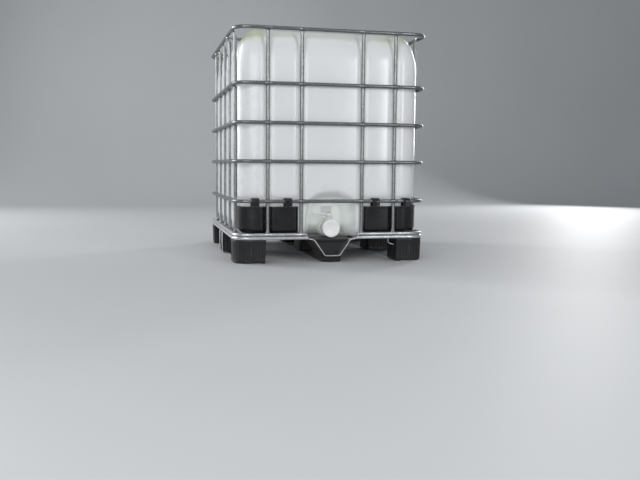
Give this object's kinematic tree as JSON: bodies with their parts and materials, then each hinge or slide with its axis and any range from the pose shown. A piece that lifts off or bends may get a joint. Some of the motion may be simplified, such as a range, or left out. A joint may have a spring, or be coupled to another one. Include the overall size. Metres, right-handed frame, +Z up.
{
  "type": "intermediate bulk container",
  "caption": "Milky plastic bottle in a galvanised tube cage on a forkable pallet, with a screw lid on top and a lever valve with a screw cap at the front.",
  "frame": {"origin": "centre of the footprint, on the ground", "axes": "+Z up; -Y is the front, with the outlet valve; +Y, the depth, is the longest side; +X is to the right seen from the front"},
  "size_m": [1, 1.2, 1.16],
  "materials": {
    "galvanised_steel": "hot-dip galvanised, dull spangle",
    "zinc_plated_steel": "bright zinc plated",
    "natural_polyethylene": "natural, translucent, blow moulded",
    "white_plastic": "injection moulded, satin",
    "black_plastic": "injection moulded, satin",
    "sealing_rubber": "moulded"
  },
  "bodies": {
    "base": {"bottle": "natural_polyethylene", "cage_ring_top": "galvanised_steel", "cage_ring_upper": "galvanised_steel", "cage_ring_high_middle": "galvanised_steel", "cage_ring_low_middle": "galvanised_steel", "cage_ring_lower": "galvanised_steel", "cage_ring_bottom": "galvanised_steel", "upright_front_1": "galvanised_steel", "upright_front_2": "galvanised_steel", "upright_front_3": "galvanised_steel", "upright_front_4": "galvanised_steel", "upright_rear_1": "galvanised_steel", "upright_rear_2": "galvanised_steel", "upright_rear_3": "galvanised_steel", "upright_rear_4": "galvanised_steel", "upright_left_1": "galvanised_steel", "upright_left_2": "galvanised_steel", "upright_left_3": "galvanised_steel", "upright_left_4": "galvanised_steel", "upright_left_5": "galvanised_steel", "upright_right_1": "galvanised_steel", "upright_right_2": "galvanised_steel", "upright_right_3": "galvanised_steel", "upright_right_4": "galvanised_steel", "upright_right_5": "galvanised_steel", "cross_bar_front": "galvanised_steel", "cross_bar_rear": "galvanised_steel", "bar_bolt_front_left": "zinc_plated_steel", "bar_bolt_front_right": "zinc_plated_steel", "bar_bolt_rear_left": "zinc_plated_steel", "bar_bolt_rear_right": "zinc_plated_steel", "corner_guard_left": "black_plastic", "corner_guard_right": "black_plastic", "pallet_frame": "galvanised_steel", "pallet_tray": "galvanised_steel", "foot_front_left": "black_plastic", "foot_front": "black_plastic", "foot_front_right": "black_plastic", "foot_left": "black_plastic", "foot_centre": "black_plastic", "foot_right": "black_plastic", "foot_rear_left": "black_plastic", "foot_rear": "black_plastic", "foot_rear_right": "black_plastic", "valve_strap": "galvanised_steel", "skid_left": "galvanised_steel", "skid_middle": "galvanised_steel", "skid_right": "galvanised_steel", "valve_nut": "white_plastic", "valve_body": "white_plastic"},
    "lid_gasket": {"lid_gasket": "sealing_rubber"},
    "fill_lid": {"fill_lid": "white_plastic"},
    "vent_gasket": {"vent_gasket": "sealing_rubber"},
    "vent_plug": {"vent_plug": "white_plastic"},
    "handle": {"valve_handle": "white_plastic", "valve_disc": "white_plastic", "handle_screw": "zinc_plated_steel"},
    "cap_gasket": {"cap_gasket": "sealing_rubber"},
    "outlet_cap": {"outlet_cap": "white_plastic"}
  },
  "joints": [
    {"name": "lid_rise", "type": "slide", "parent": "base", "child": "lid_gasket", "axis": [0, 0, 1], "range_m": [0, 0.021]},
    {"name": "lid_turn", "type": "hinge", "parent": "lid_gasket", "child": "fill_lid", "pos_m": [0, 0, 1.1416], "axis": [0, 0, 1], "range_deg": [0, 1080]},
    {"name": "vent_rise", "type": "slide", "parent": "fill_lid", "child": "vent_gasket", "axis": [0, 0, 1], "range_m": [0, 0.016]},
    {"name": "vent_turn", "type": "hinge", "parent": "vent_gasket", "child": "vent_plug", "pos_m": [0, 0, 1.1456], "axis": [0, 0, 1], "range_deg": [0, 1440]},
    {"name": "cap_draw", "type": "slide", "parent": "base", "child": "cap_gasket", "axis": [0, -1, 0], "range_m": [0, 0.018]},
    {"name": "cap_turn", "type": "hinge", "parent": "cap_gasket", "child": "outlet_cap", "pos_m": [0, -0.4469, 0.1718], "axis": [0, -1, 0], "range_deg": [0, 1080]},
    {"name": "handle_turn", "type": "hinge", "parent": "base", "child": "handle", "pos_m": [0, -0.5089, 0.1718], "axis": [0, 0, 1], "range_deg": [0, 90]}
  ],
  "couplings": [
    {"joint": "lid_rise", "follows": "lid_turn", "m_per_rad": 0.001114},
    {"joint": "vent_rise", "follows": "vent_turn", "m_per_rad": 0.000636},
    {"joint": "cap_draw", "follows": "cap_turn", "m_per_rad": 0.000954}
  ]
}
